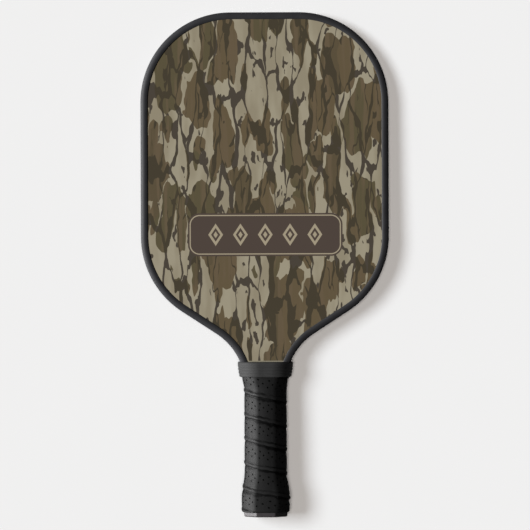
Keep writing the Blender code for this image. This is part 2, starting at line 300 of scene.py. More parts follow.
# %% [markdown]
# ## Moulded urethane, for the edge guard
# The guard is injection-moulded thermoplastic urethane. The mould is spark-eroded, so
# the skin is satin, and the plastic's flow leaves a faint mottle. One flat colour would
# look like paint, so a slow mottle changes colour and gloss together, and a fine grain
# breaks up the highlight.

# %% The guard's finish
def moulded_urethane():
    """Satin urethane: a soft, broad highlight along the rim and no sharp reflection."""
    material, tree, shader = start_finish(
        "moulded_urethane", "#28282A", 0.45, IOR=1.5, Specular_IOR_Level=0.13
    )
    # Spark texture is usually near 0.1 mm; it is drawn at 0.5 mm to show.
    moulded_skin(tree, shader, 9.0, ("#242426", "#2E2E30"), (0.42, 0.54), 0.5, 0.02)
    return material


guard_finish = moulded_urethane()
print("finish:", guard_finish.name)

# %% [markdown]
# ## The edge guard
# The guard is a C-channel that grips the rim of the blade all the way round. It could
# be pushed and pulled by hand, but its shape follows a rule: one section, swept along
# one path. So a small Geometry Nodes tree makes it. The path is the blade's outline,
# built from arcs and straight lines, and the section is a rounded C.

# %% The path round the rim
CORNER_RADIUS = 72.5 * MM
SIDE_STRAIGHT = 108.0 * MM
FLANK_ANGLE = math.radians(33.1)
THROAT_RADIUS = 50.0 * MM
NECK_HALF = 16.5 * MM
GUARD_START = 117.0 * MM
_, blade_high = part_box("edge_guard")
corner_x, upper_y = blade_high.x - CORNER_RADIUS, blade_high.y - CORNER_RADIUS
lower_y = upper_y - SIDE_STRAIGHT
throat_x = NECK_HALF + THROAT_RADIUS
# The flank is the straight line that touches the lower corner and the throat.
throat_y = lower_y + (
    (throat_x - corner_x) * math.sin(FLANK_ANGLE) - CORNER_RADIUS - THROAT_RADIUS
) / math.cos(FLANK_ANGLE)


def arc(centre, radius, start, end, step=1.5 * MM):
    """Points along an arc, both ends included."""
    count = max(2, round(abs(end - start) * radius / step))
    angles = np.linspace(start, end, count + 1)
    return [
        (centre[0] + radius * math.cos(a), centre[1] + radius * math.sin(a)) for a in angles
    ]


def rim_path():
    """The blade's outside from the throat's left, over the top, to its right."""
    quarter = math.pi / 2
    start = math.asin((GUARD_START - throat_y) / THROAT_RADIUS)
    right = arc((throat_x, throat_y), THROAT_RADIUS, math.pi - start, quarter + FLANK_ANGLE)
    right += arc((corner_x, lower_y), CORNER_RADIUS, FLANK_ANGLE - quarter, 0)
    right += arc((corner_x, upper_y), CORNER_RADIUS, 0, quarter)
    return [(-x, y) for x, y in right] + right[::-1]


def line_mesh(name, points, closed=False):
    """A mesh of edges only, for a tree to sweep."""
    mesh = bpy.data.meshes.new(name)
    edges = [(i, i + 1) for i in range(len(points) - 1)]
    mesh.from_pydata(points, edges + [(len(points) - 1, 0)] * closed, [])
    return mesh


print(f"rim path: {len(rim_path())} points, the first at y {GUARD_START / MM:.0f} mm")

# %% The section of the channel
GUARD_WALL, GUARD_REACH = 1.3 * MM, 5.6 * MM
SHOULDER_IN, SHOULDER_DOWN = 3.5 * MM, 2.3 * MM
LIP_FALL, LIP_EDGE = 0.35 * MM, 0.15 * MM
lip_over = blade_high.z
lip_under = lip_over - 0.8 * MM


def guard_section():
    """(distance in from the outside, z) round the C, half of it mirrored. The shoulder is
    a quarter of an ellipse, and the lip falls away towards the film."""
    upper = []
    for angle in np.radians(np.arange(0, 91, 10)):
        away = SHOULDER_IN * (1 - math.cos(angle))
        upper.append((away, lip_over - SHOULDER_DOWN * (1 - math.sin(angle))))
    lip = GUARD_REACH - LIP_EDGE - SHOULDER_IN
    for share in np.linspace(0, 1, 7)[1:]:
        upper.append((SHOULDER_IN + lip * share, lip_over - LIP_FALL * share**2))
    upper += [(GUARD_REACH, lip_over - LIP_FALL - LIP_EDGE), (GUARD_REACH, lip_under)]
    upper.append((GUARD_WALL, lip_under))
    return upper + [(inset, -z) for inset, z in reversed(upper)]


print(f"{len(guard_section())} points round the channel")

# %% [markdown]
# ## Building with Geometry Nodes
# Two trees are used below, one for the guard and one for the punched holes. Both start
# with named inputs and end in one finished shape, and each runs once on a base mesh.

# %% Starting a tree, ending it and running it
KINDS = {
    "geometry": "NodeSocketGeometry",
    "object": "NodeSocketObject",
    "size": "NodeSocketFloat",
    "material": "NodeSocketMaterial",
}


def start_tree(name, inputs, output):
    """A Geometry Nodes tree with named inputs. Gives back the tree, the outputs of its
    input node, and each input's identifier by name."""
    tree = bpy.data.node_groups.new(name, "GeometryNodeTree")
    identifiers = {}
    for label, kind in inputs.items():
        socket = tree.interface.new_socket(label, in_out="INPUT", socket_type=KINDS[kind])
        identifiers[label] = socket.identifier
    tree.interface.new_socket(output, in_out="OUTPUT", socket_type=KINDS["geometry"])
    return tree, add(tree, "NodeGroupInput").outputs, identifiers


def end_tree(tree, shape, finish):
    """Realizes what the tree made, gives it its material and sends it out."""
    shape = add(tree, "GeometryNodeRealizeInstances", {"Geometry": shape}, 0)
    inputs = {"Geometry": shape, "Material": finish}
    shape = add(tree, "GeometryNodeSetMaterial", inputs, 0)
    add(tree, "NodeGroupOutput", {0: shape})
    print(f"{tree.name}: {len(tree.nodes)} nodes")


def grow(name, base, tree, identifiers, values):
    """Runs a tree on a base mesh, and gives back the plain mesh that it makes."""
    holder = bpy.data.objects.new(name, base)
    bpy.context.scene.collection.objects.link(holder)
    modifier = holder.modifiers.new("grow", "NODES")
    modifier.node_group = tree
    for label, value in values.items():
        modifier[identifiers[label]] = value
    graph = bpy.context.evaluated_depsgraph_get()
    mesh = bpy.data.meshes.new_from_object(holder.evaluated_get(graph), depsgraph=graph)
    mesh.name = name
    bpy.data.objects.remove(holder)
    return mesh


print("a tree may take:", *KINDS)

# %% A tree that sweeps a section along a path
def sweep_tree():
    """The tree, and its inputs' identifiers. The section is swept along the path, and
    both ends are closed."""
    inputs = {
        "Path": "geometry",
        "Section": "object",
        "Path Step": "size",
        "Finish": "material",
    }
    tree, given, identifiers = start_tree("sweep_channel", inputs, "Channel")
    path = add(tree, "GeometryNodeMeshToCurve", {"Mesh": given["Path"]}, 0)
    step = {"Curve": path, "Length": given["Path Step"]}
    path = add(tree, "GeometryNodeResampleCurve", step, 0, mode="LENGTH")
    path = add(tree, "GeometryNodeSetCurveNormal", {"Curve": path}, 0, mode="Z_UP")
    section = add(tree, "GeometryNodeObjectInfo", {"Object": given["Section"]}, "Geometry")
    section = add(tree, "GeometryNodeMeshToCurve", {"Mesh": section}, 0)
    swept = {"Curve": path, "Profile Curve": section, "Fill Caps": True}
    end_tree(tree, add(tree, "GeometryNodeCurveToMesh", swept, 0), given["Finish"])
    return tree, identifiers


channel_tree, channel_inputs = sweep_tree()

# %% Sweep the guard
PATH_STEP = 2.0 * MM
outline = line_mesh("guard_section", [(*p, 0) for p in guard_section()], closed=True)
section = bpy.data.objects.new("guard_section", outline)
bpy.context.scene.collection.objects.link(section)
rim_line = line_mesh("rim_path", [(x, y, 0) for x, y in rim_path()])
values = {"Section": section, "Path Step": PATH_STEP, "Finish": guard_finish}
guard_mesh = grow("rim_guard", rim_line, channel_tree, channel_inputs, values)
bpy.data.objects.remove(section)
face_outwards(guard_mesh)
stand_in("rim_guard", guard_mesh, guard_finish, "edge_guard")

# %% [markdown]
# ## Printed film, with bark camouflage
# The face is a satin polycarbonate film, printed on its back and laminated down, so the
# print is flat and crisp and only the fine lay of the fibreglass shows as relief. The
# camouflage is bark: pale wood, split by long dark cracks, with rounded patches of
# brown and olive bark left on it. It could be painted, but cells and noise give the
# same shapes by rule: torn cells make the cracks, round cells make the patches.

# %% Inks, and shapes for the print
INK = {
    "wood": "#9B937E",
    "wood_shade": "#8F8671",
    "crack": "#474037",
    "brown": "#60533D",
    "olive": "#574F39",
    "umber": "#584D39",
    "streak": "#645642",
    "bark_crack": "#423B2D",
    "panel": "#4C413A",
    "line": "#A1967F",
    "bare": "#878170",
}


def torn(tree, place, size, reach, detail=2.0):
    """Drags the place about by noise, so that edges laid on it look torn."""
    stretched = add(tree, MAPPING, {"Vector": place, "Scale": (1 / size[0], 1 / size[1], 1)}, 0)
    drift = add(
        tree,
        NOISE,
        {"Vector": stretched, "Scale": 1.0, "Detail": detail, "Roughness": 0.5},
        "Color",
        noise_dimensions="2D",
    )
    half = {0: drift, 1: (0.5, 0.5, 0.5)}
    drift = add(tree, "ShaderNodeVectorMath", half, 0, operation="SUBTRACT")
    drag = {0: drift, 1: (*reach, 0), 2: place}
    return add(tree, "ShaderNodeVectorMath", drag, 0, operation="MULTIPLY_ADD")


def cells(tree, place, size, feature, output):
    """Voronoi cells about size millimetres wide and tall."""
    stretched = add(tree, MAPPING, {"Vector": place, "Scale": (1 / size[0], 1 / size[1], 1)}, 0)
    inputs = {"Vector": stretched, "Scale": 1.0}
    return add(
        tree, "ShaderNodeTexVoronoi", inputs, output, voronoi_dimensions="2D", feature=feature
    )


def drifts(tree, place, size, low, high, to_low=0.0, to_high=1.0):
    """Tall soft drifts that run from to_low to to_high as their noise goes low to high."""
    stretched = add(tree, MAPPING, {"Vector": place, "Scale": (1 / size[0], 1 / size[1], 1)}, 0)
    inputs = {"Vector": stretched, "Scale": 1.0, "Detail": 2.0}
    noise = add(tree, NOISE, inputs, 0, noise_dimensions="2D")
    ends = {"From Min": low, "From Max": high, "To Min": to_low, "To Max": to_high}
    return add(tree, RANGE, {"Value": noise, **ends}, 0)


def lay_inks(tree, colour, layers):
    """Prints ink over ink. Each layer is a mask from 0 to 1 and an ink's name, or the
    socket of a colour that is already mixed."""
    for mask, ink in layers:
        top = linear(INK[ink]) if ink in INK else ink
        colour = add(tree, MIX, {0: mask, 6: colour, 7: top}, 2, data_type="RGBA")
    return colour


print(f"{len(INK)} inks")

# %% The bark print
# Width and height in mm of the cells that split the wood
WOOD_CELL = (12, 62)
# Two sizes of bark patch: its cell in mm, and how far it reaches out in that cell
PATCHES = (((25, 58), 0.42), ((15, 40), 0.31))


def cracks(tree, place, size, thin, thick):
    """Distance from the edge of tall torn cells, and a mask of the cracks along it."""
    edge = cells(tree, place, size, "DISTANCE_TO_EDGE", "Distance")
    width = drifts(tree, place, (9, 28), 0.38, 0.68, thin, thick)
    return edge, add(tree, MATH, {0: edge, 1: width}, 0, operation="LESS_THAN")


def patches(tree, place):
    """A mask of the bark patches: round-ended tall cells in two sizes."""
    masks = []
    for size, reach in PATCHES:
        far = cells(tree, place, size, "F1", "Distance")
        masks.append(add(tree, MATH, {0: far, 1: reach}, 0, operation="LESS_THAN"))
    return add(tree, MATH, {0: masks[0], 1: masks[1]}, 0, operation="MAXIMUM")


def bark_print(tree, place):
    """The colour of the bark camouflage at each place. Sizes are (across, up) in mm."""
    wood_tall = drifts(tree, place, (14, 50), 0.4, 0.6)
    wood = lay_inks(tree, linear(INK["wood"]), [(wood_tall, "wood_shade")])
    # Cracks in the wood, from a hair to about 3 mm wide, and small torn knots
    rough = torn(tree, place, (12, 32), (12, 28))
    edge, crack = cracks(tree, rough, WOOD_CELL, 0.025, 0.135)
    knot = drifts(tree, torn(tree, place, (6, 14), (5, 9)), (6.5, 15), 0.655, 0.665)
    wood = lay_inks(tree, wood, [(crack, "crack"), (knot, "crack")])
    # Patches of bark, with slivers of wood left in them
    calm = torn(tree, place, (13, 30), (14, 30))
    chance = cells(tree, rough, WOOD_CELL, "F1", "Color")
    chance = add(tree, "ShaderNodeSeparateColor", {0: chance}, 1)
    left = add(tree, MATH, {0: chance, 1: 0.76}, 0, operation="GREATER_THAN")
    open_wood = add(tree, MATH, {0: edge, 1: 0.11}, 0, operation="GREATER_THAN")
    sliver = add(tree, MATH, {0: left, 1: open_wood}, 0, operation="MULTIPLY")
    patch = patches(tree, calm)
    patch = add(tree, MATH, {0: patch, 1: sliver}, 0, operation="SUBTRACT", use_clamp=True)
    # Each patch has one of three inks, streaks down it and fine dark cracks in it
    tone = cells(tree, calm, PATCHES[0][0], "F1", "Color")
    tone = add(tree, "ShaderNodeSeparateColor", {0: tone}, 0)
    olive = add(tree, MATH, {0: tone, 1: 0.4}, 0, operation="GREATER_THAN")
    umber = add(tree, MATH, {0: tone, 1: 0.7}, 0, operation="GREATER_THAN")
    streaks = drifts(tree, place, (5, 70), 0.50, 0.62, 0.0, 0.8)
    fine = torn(tree, place, (9, 24), (9, 20))
    bark_cracks = cracks(tree, fine, (8.5, 46), -0.03, 0.105)[1]
    bark = lay_inks(
        tree,
        linear(INK["brown"]),
        [(olive, "olive"), (umber, "umber"), (streaks, "streak"), (bark_cracks, "bark_crack")],
    )
    bark = lay_inks(tree, bark, [(crack, "bark_crack")])
    return lay_inks(tree, wood, [(patch, bark)])


print("bark patches in mm:", *(f"{wide} x {tall}" for (wide, tall), _ in PATCHES))

# %% [markdown]
# ## The ornament on the front
# A plain dark bar with a pale line round it sits across the lower part of the face,
# with a row of lozenges in it. It could be a thin mesh on top, but ink has no height,
# so it is part of the print. It is drawn with distances: how far a place is from the
# edge of a rounded bar says whether it is outside, on the line, or inside.

# %% A rounded bar with lozenges
BAR_CENTRE = (0.3, 227.5)
BAR_HALF = (61.0, 16.0)
BAR_CORNER = 8.0
LOZENGES, LOZENGE_PITCH, LOZENGE_HALF = 5, 20.0, (6.0, 9.0)


def from_bar_middle(tree):
    """x and y in mm from the middle of the bar, and the same without their signs."""
    centre = {"Scale": (1 / MM, 1 / MM, 0), "Location": (-BAR_CENTRE[0], -BAR_CENTRE[1], 0)}
    place = add(
        tree, MAPPING, {"Vector": add(tree, "ShaderNodeTexCoord", out="Object"), **centre}, 0
    )
    plain = add(tree, "ShaderNodeVectorMath", {0: place}, 0, operation="ABSOLUTE")
    return [add(tree, "ShaderNodeSeparateXYZ", {0: v}).outputs for v in (place, plain)]


def from_bar_edge(tree, across, up):
    """Distance in mm out from the edge of the rounded bar; inside it is negative."""
    past = []
    for value, half in zip((across, up), BAR_HALF):
        inner = {0: value, 1: half - BAR_CORNER}
        past.append(add(tree, MATH, inner, 0, operation="SUBTRACT"))
    squares = []
    for value in past:
        outer = add(tree, MATH, {0: value, 1: 0.0}, 0, operation="MAXIMUM")
        squares.append(add(tree, MATH, {0: outer, 1: 2.0}, 0, operation="POWER"))
    total = add(tree, MATH, {0: squares[0], 1: squares[1]}, 0, operation="ADD")
    corner = add(tree, MATH, {0: total}, 0, operation="SQRT")
    deep = add(tree, MATH, {0: past[0], 1: past[1]}, 0, operation="MAXIMUM")
    deep = add(tree, MATH, {0: deep, 1: 0.0}, 0, operation="MINIMUM")
    away = add(tree, MATH, {0: corner, 1: deep}, 0, operation="ADD")
    return add(tree, MATH, {0: away, 1: BAR_CORNER}, 0, operation="SUBTRACT")


def lozenge_bar(tree, colour):
    """Lays the bar and its lozenges over the print."""
    signed, plain = from_bar_middle(tree)
    away = from_bar_edge(tree, plain[0], plain[1])
    layers = []
    for reach, ink in ((1.3, "panel"), (0.0, "line"), (-0.9, "panel")):
        layers.append((add(tree, MATH, {0: away, 1: reach}, 0, operation="LESS_THAN"), ink))
    # PINGPONG folds the bar's length so that every lozenge is the same one.
    folded = {0: signed[0], 1: LOZENGE_PITCH / 2}
    along = add(tree, MATH, folded, 0, operation="PINGPONG")
    along = add(tree, MATH, {0: along, 1: LOZENGE_HALF[0]}, 0, operation="DIVIDE")
    up = add(tree, MATH, {0: plain[1], 1: LOZENGE_HALF[1]}, 0, operation="DIVIDE")
    slant = add(tree, MATH, {0: along, 1: up}, 0, operation="ADD")
    ends = {0: plain[0], 1: LOZENGES * LOZENGE_PITCH / 2}
    inside = add(tree, MATH, ends, 0, operation="LESS_THAN")
    for reach, ink in ((1.0, "line"), (0.62, "panel"), (0.3, "line")):
        ring = add(tree, MATH, {0: slant, 1: reach}, 0, operation="LESS_THAN")
        layers.append((add(tree, MATH, {0: ring, 1: inside}, 0, operation="MULTIPLY"), ink))
    return lay_inks(tree, colour, layers)


print(f"bar {2 * BAR_HALF[0]:.0f} x {2 * BAR_HALF[1]:.0f} mm, {LOZENGES} lozenges")

# %% [markdown]
# ## The film itself
# The CAD's two thin sheets already have the right shape, so they keep it and only get
# their finish. The shift moves the pattern, so that the back doesn't repeat the front,
# and only the front has the bar.

# %% The printed film, front and back
FRONT_SHIFT, BACK_SHIFT = (37.0, 512.0, 0.0), (911.0, 140.0, 0.0)
PRINT_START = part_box("grip_collar")[1].y + 0.9 * MM


def printed_film(name, shift, ornament):
    """Satin polycarbonate film, printed on its underside: a flat print that keeps its
    colour from every side, under a broad weak sheen."""
    material, tree, shader = start_finish(
        name, "#5F553E", 0.55, IOR=1.58, Specular_IOR_Level=0.1
    )
    place = in_millimetres(tree, shift)
    colour = bark_print(tree, place)
    if ornament:
        colour = lozenge_bar(tree, colour)
    # The print stops short of the collar and leaves a thin pale line there.
    height = add(tree, "ShaderNodeTexCoord", out="Object")
    height = add(tree, "ShaderNodeSeparateXYZ", {0: height}, 1)
    bare = add(tree, MATH, {0: height, 1: PRINT_START}, 0, operation="LESS_THAN")
    tree.links.new(lay_inks(tree, colour, [(bare, "bare")]), shader.inputs["Base Color"])
    # Glass cloth usually has finer threads; they are drawn 1.5 mm apart to show.
    weave = add(tree, NOISE, {"Vector": place, "Scale": 1 / 1.5, "Detail": 2.0}, 0)
    bump = {"Height": weave, "Distance": 0.012 * MM, "Strength": 1.0}
    tree.links.new(add(tree, "ShaderNodeBump", bump, 0), shader.inputs["Normal"])
    return material


def refinish(node, material):
    """Gives a CAD solid that keeps its shape its real finish."""
    frame["nodes"][node].material_slots[0].material = material
    print(f"{node}: {material.name}")


refinish("front_print_film", printed_film("printed_film_front", FRONT_SHIFT, True))
refinish("back_print_film", printed_film("printed_film_back", BACK_SHIFT, False))

# %% [markdown]
# ## The rubber collar
# A moulded rubber band covers the top of the tape and closes round the blade's neck.
# Its lower part has fine soft ribs to grip the finger. The ribs could be rings laid on a
# plain tube, but in moulded rubber each one flows into the next. So the collar is one
# lofted tube whose rings dip and rise: up the outside, over the lip, in round the blade,
# and back down the inside.

# %% Silicone rubber
def moulded_rubber():
    """Matt silicone rubber: an even dark grey with a dusty bloom and no clear shine."""
    material, tree, shader = start_finish(
        "moulded_rubber", "#363636", 0.6, IOR=1.42, Specular_IOR_Level=0.06
    )
    # The bloom's own grain is too fine to see; it is drawn at 0.6 mm to show.
    moulded_skin(tree, shader, 6.0, ("#2F2F2F", "#373737"), (0.56, 0.68), 0.6, 0.03)
    return material


rubber_finish = moulded_rubber()
print("finish:", rubber_finish.name)


# %% The collar's outline
# Height above the butt, half-width, half-thickness and chamfer, up the outside
COLLAR_OUTSIDE = np.array(
    (
        (112.7, 20.6, 17.5, 9.3),
        (113.2, 20.9, 17.9, 9.4),
        (115.0, 21.4, 18.2, 9.9),
        (118.0, 21.9, 18.3, 10.5),
        (122.0, 22.3, 18.1, 10.5),
        (124.3, 22.3, 17.4, 10.2),
        (124.9, 21.8, 16.6, 10.0),
    )
) * MM
COLLAR_INSIDE = np.array(
    ((112.7, 19.4, 16.7, 8.6), (116.8, 20.0, 16.9, 8.6), (122.3, 20.1, 16.3, 8.6))
) * MM
OUTER_CORNER, INNER_CORNER = 15.0 * MM, 11.0 * MM
RIB_PITCH, RIB_DEPTH = 2.6 * MM, 0.38 * MM
RIBS_FROM, RIBS_TO = 113.8 * MM, 121.6 * MM
AROUND = np.arange(144) / 144


def guard_half_width(y):
    """Half the blade's width in the throat, over the guard."""
    return throat_x - math.sqrt(THROAT_RADIUS**2 - (y - throat_y) ** 2)


def collar_ring(table, y, lift=0.0):
    """Round the collar's outside or inside at height y, raised by lift."""
    width, thick, chamfer = (np.interp(y, table[:, 0], table[:, i]) for i in (1, 2, 3))
    corner = OUTER_CORNER if table is COLLAR_OUTSIDE else INNER_CORNER
    x, z = round_ring(AROUND, width, thick, chamfer, corner, lift)
    return np.column_stack([x, np.full_like(x, y), z])


def opening_ring(y, slack=0.3 * MM):
    """Round the blade's neck, with a little slack."""
    x, z = round_ring(
        AROUND, guard_half_width(y) + slack, lip_over + slack, 2.0 * MM, 0.8 * MM
    )
    return np.column_stack([x, np.full_like(x, y), z])


print(f"ribs on the collar: {(RIBS_TO - RIBS_FROM) / RIB_PITCH:.0f}")

# %% Loft the collar
# Steps along the ends: how far from the end, and how far below the surface, in mm
LOWER_EDGE = ((0.0, 0.55), (0.06, 0.3), (0.2, 0.12), (0.5, 0.0))
UPPER_EDGE = (
    (3.1, 0.05),
    (2.7, 0.22),
    (2.4, 0.05),
    (1.8, 0.0),
    (1.0, 0.0),
    (0.5, 0.05),
    (0.2, 0.2),
    (0.05, 0.4),
    (0.0, 0.7),
)
# Steps down the opening round the neck, and heights down the inside, in mm
OPENING_STEPS = (0.0, 1.3, 2.6)
INSIDE_HEIGHTS = (122.3, 119.5, 116.8, 114.5)


def collar_rings():
    """Up the outside, in round the blade's neck, and down the inside."""
    start, end = (corner.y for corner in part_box("grip_collar"))
    rings = [collar_ring(COLLAR_OUTSIDE, start + y * MM, -d * MM) for y, d in LOWER_EDGE]
    for y in np.arange(RIBS_FROM, RIBS_TO, RIB_PITCH / 10):
        wave = 0.5 - 0.5 * math.cos(2 * math.pi * (y - RIBS_FROM) / RIB_PITCH)
        rings.append(collar_ring(COLLAR_OUTSIDE, y, -RIB_DEPTH * wave**2))
    rings += [collar_ring(COLLAR_OUTSIDE, end - y * MM, -d * MM) for y, d in UPPER_EDGE]
    rings += [opening_ring(end - y * MM) for y in OPENING_STEPS]
    rings += [collar_ring(COLLAR_INSIDE, y * MM) for y in INSIDE_HEIGHTS]
    return rings + [collar_ring(COLLAR_INSIDE, start)]


collar_mesh = tube("rubber_collar", collar_rings(), joined=True)
stand_in("rubber_collar", collar_mesh, rubber_finish, "grip_collar")

# %% [markdown]
# ## The wound grip tape
# The tape is a strip of perforated synthetic leather on a foam backing. It is wound up
# the handle from the butt, each turn lapping the last, so the lapped edge stands up as
# a slanting ridge. A plain tube with a bumpy material would look painted on. So the
# surface is laid out the way the tape is: a grid whose rows run along the strip, and
# that climbs by the pitch of the winding in each turn round the handle. The ridge is
# then a height across the strip, and the punched holes sit on the grid's own points.

# %% Laying out the strip
PITCH = 19.35 * MM
LEFT_SEAM = 22.9 * MM
COLUMNS = 150
tape_low, tape_high = (corner.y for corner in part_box("grip_tape"))
# Across one turn, in mm: place, and how far it stands up there. The crease comes first,
# then the doubled edge, then the small dip behind it.
LAP = np.array(
    (
        (0.0, -0.65),
        (0.4, -0.62),
        (0.7, -0.25),
        (0.95, 0.1),
        (1.3, 0.3),
        (1.8, 0.38),
        (2.4, 0.36),
        (2.85, 0.25),
        (3.2, 0.04),
        (3.5, -0.2),
        (3.85, -0.34),
        (4.25, -0.2),
        (4.7, -0.04),
    )
)
FLAT_ROWS = 22
flat_part = np.linspace(0, 1, FLAT_ROWS + 1)[1:-1]
lap_width, turn_width = LAP[-1, 0], PITCH / MM
across = np.concatenate([LAP[:, 0], lap_width + (turn_width - lap_width) * flat_part]) * MM
lift = np.concatenate([LAP[:, 1], LAP[0, 1] * flat_part**6]) * MM
ROWS = len(across)
print(f"{ROWS} rows to a turn, {COLUMNS} columns round it")

# Height above the butt, and half-width and half-thickness of the tape's outside
TAPE_OUTSIDE = np.array(
    (
        (3.6, 18.9, 17.1),
        (5.0, 19.0, 17.2),
        (12.0, 19.2, 17.3),
        (18.0, 19.2, 17.3),
        (21.5, 18.6, 16.8),
        (26.0, 17.9, 16.2),
        (31.0, 17.1, 15.5),
        (35.0, 16.8, 15.3),
        (103.0, 16.8, 15.3),
        (106.0, 17.2, 15.5),
        (109.0, 18.1, 15.9),
        (116.5, 19.0, 16.6),
    )
) * MM
TAPE_INSIDE = np.array(
    (
        (3.6, 17.5, 16.0),
        (12.0, 17.9, 16.4),
        (18.0, 18.1, 16.6),
        (21.5, 17.2, 15.7),
        (26.0, 16.4, 14.9),
        (29.0, 15.9, 14.4),
        (32.0, 15.2, 13.7),
        (104.9, 15.2, 13.7),
        (109.0, 16.9, 14.4),
        (116.5, 17.6, 14.9),
    )
) * MM
# The lower end is rounded over a short way, and sinks there. The laps fade out where
# they run in under the collar. Each flat of the handle bows out a little in its middle.
END_ROUND, END_SUNK = 1.3 * MM, 0.9 * MM
LAP_FADE = 3 * MM
FLAT_CROWN = 0.3 * MM


def eased(table, y, column):
    """A value of the table at y, with the bends of the line eased over a few mm."""
    steps = np.linspace(-2.0, 2.0, 9) * MM
    return np.mean([np.interp(y + s, table[:, 0], table[:, column]) for s in steps], axis=0)


def tape_surface(turns, y, height):
    """Points of the tape's outside. turns counts trips round the handle."""
    end = np.clip((tape_low + END_ROUND - y) / END_ROUND, 0.0, 1.0)
    height = height * np.clip((tape_high - LAP_FADE - y) / LAP_FADE, 0.0, 1.0)
    height = height - END_SUNK * (1 - np.sqrt(1 - end**2))
    chamfer, corner = WOUND[2], WOUND[3]
    width, thick = eased(TAPE_OUTSIDE, y, 1), eased(TAPE_OUTSIDE, y, 2)
    x, z = round_ring(turns, width, thick, chamfer, corner, height, crown=FLAT_CROWN)
    return np.column_stack([x, y, z])


print(f"the tape runs from y {tape_low / MM:.1f} to {tape_high / MM:.1f} mm")

# %% Where the holes are punched
HOLE_RADIUS, HOLE_DEPTH = 0.7 * MM, 0.8 * MM
HOLE_STEP = 10
# Row of the grid, and how many columns its holes are shifted along the strip
HOLE_ROWS = {19: 0, 23: 5, 27: 9}


def punched(row, column):
    """True where a hole's middle is on this point of the grid."""
    if row % ROWS not in HOLE_ROWS:
        return False
    along = column - COLUMNS * (row // ROWS)
    return (along + HOLE_ROWS[row % ROWS]) % HOLE_STEP == 0


def wander(along):
    """How far the hand-wound edge strays from a true helix."""
    slow = 0.35 * np.sin(along / 23.0) + 0.2 * np.sin(along / 7.3 + 1.0)
    return (slow + 0.14 * np.sin(along / 1.15 + 1.5 * np.sin(along / 6.1))) * MM


print(f"holes are {HOLE_STEP * TRIP / COLUMNS / MM:.1f} mm apart in a row")

# %% The grid of the tape
def tape_grid():
    """Points of the tape's outside, row by row along the winding, the number of rows,
    the middles of the holes, and how far each point stands up."""
    turns = math.ceil((tape_high - LEFT_SEAM + 3 * PITCH) / PITCH) + 1
    total = ROWS * turns + 1
    rows, columns = np.meshgrid(np.arange(total), np.arange(COLUMNS), indexing="ij")
    start = LEFT_SEAM - 2 * PITCH
    climb = across[rows % ROWS] + PITCH * (rows // ROWS)
    stand = lift[rows % ROWS]
    aside = np.zeros_like(climb)
    # The eight points round each hole's middle are drawn onto its circle.
    holes = [
        (r, c) for r in range(1, total - 1) for c in range(1, COLUMNS - 1) if punched(r, c)
    ]
    for r, c in holes:
        for dr in (-1, 0, 1):
            for dc in (-1, 0, 1):
                if dr or dc:
                    far = math.hypot(dr, dc)
                    climb[r + dr, c + dc] = climb[r, c] + HOLE_RADIUS * dr / far
                    aside[r + dr, c + dc] = HOLE_RADIUS * dc / far - dc * TRIP / COLUMNS
    places = columns / COLUMNS + aside / TRIP
    # The edge strays and stands up unevenly, by the length of strip wound so far.
    along = (columns - COLUMNS * (rows // ROWS)) * TRIP / COLUMNS / MM
    share = across[rows % ROWS] / PITCH
    climb = climb + wander(along) * (1 - share) + wander(along - TRIP / MM) * share
    uneven = 0.25 * np.sin(along / 9.1) + 0.2 * np.sin(along / 2.3 + np.sin(along / 7.0))
    stand = stand * (1 + uneven)
    y = start + climb - PITCH * places
    points = tape_surface(places.ravel(), y.ravel(), stand.ravel())
    return points, total, set(holes), stand.ravel()


def tape_mesh():
    """The tape's outside as an open mesh, cut off square at both ends. Its faces round a
    hole are marked, and its points carry how far they stand up."""
    points, total, holes, stand = tape_grid()
    work = bmesh.new()
    punch = work.faces.layers.int.new("punch")
    stands = work.verts.layers.float.new("stands")
    verts = [work.verts.new(p) for p in points]
    for vert, height in zip(verts, stand):
        vert[stands] = height / MM
    at = lambda row, column: verts[row * COLUMNS + column]
    for row in range(total - 1):
        for column in range(COLUMNS):
            if column + 1 < COLUMNS:
                corners = (
                    at(row, column),
                    at(row, column + 1),
                    at(row + 1, column + 1),
                    at(row + 1, column),
                )
            elif row >= ROWS:
                # The last column meets the first one, a whole turn lower in the count.
                under = row - ROWS
                corners = (
                    at(row, column),
                    at(under, 0),
                    at(under + 1, 0),
                    at(row + 1, column),
                )
            else:
                continue
            face = work.faces.new(corners)
            face[punch] = int(
                any((row + a, column + b) in holes for a in (0, 1) for b in (0, 1))
            )
    for height, keep_above in ((tape_low, True), (tape_high, False)):
        bmesh.ops.bisect_plane(
            work,
            geom=work.verts[:] + work.edges[:] + work.faces[:],
            dist=1e-7,
            plane_co=(0, height, 0),
            plane_no=(0, 1, 0),
            clear_inner=keep_above,
            clear_outer=not keep_above,
        )
    return work


tape_outside = tape_mesh()
print(f"outside of the tape: {len(tape_outside.faces)} faces")

# %% Close the tape with its foam side
INSIDE_COLUMNS, INSIDE_RINGS = 72, 60
INSIDE_CHAMFER, INSIDE_CORNER = 8.5 * MM, 1.5 * MM


def inside_rings(work):
    """The foam side, as rings of points up the handle with faces between them."""
    rings = []
    for y in np.linspace(tape_low, tape_high, INSIDE_RINGS):
        width, thick = (np.interp(y, TAPE_INSIDE[:, 0], TAPE_INSIDE[:, i]) for i in (1, 2))
        places = np.arange(INSIDE_COLUMNS) / INSIDE_COLUMNS
        x, z = round_ring(places, width, thick, INSIDE_CHAMFER, INSIDE_CORNER)
        rings.append([work.verts.new((a, y, b)) for a, b in zip(x, z)])
    for low, high in zip(rings, rings[1:]):
        for i in range(INSIDE_COLUMNS):
            j = (i + 1) % INSIDE_COLUMNS
            work.faces.new((low[i], low[j], high[j], high[i]))
    return rings


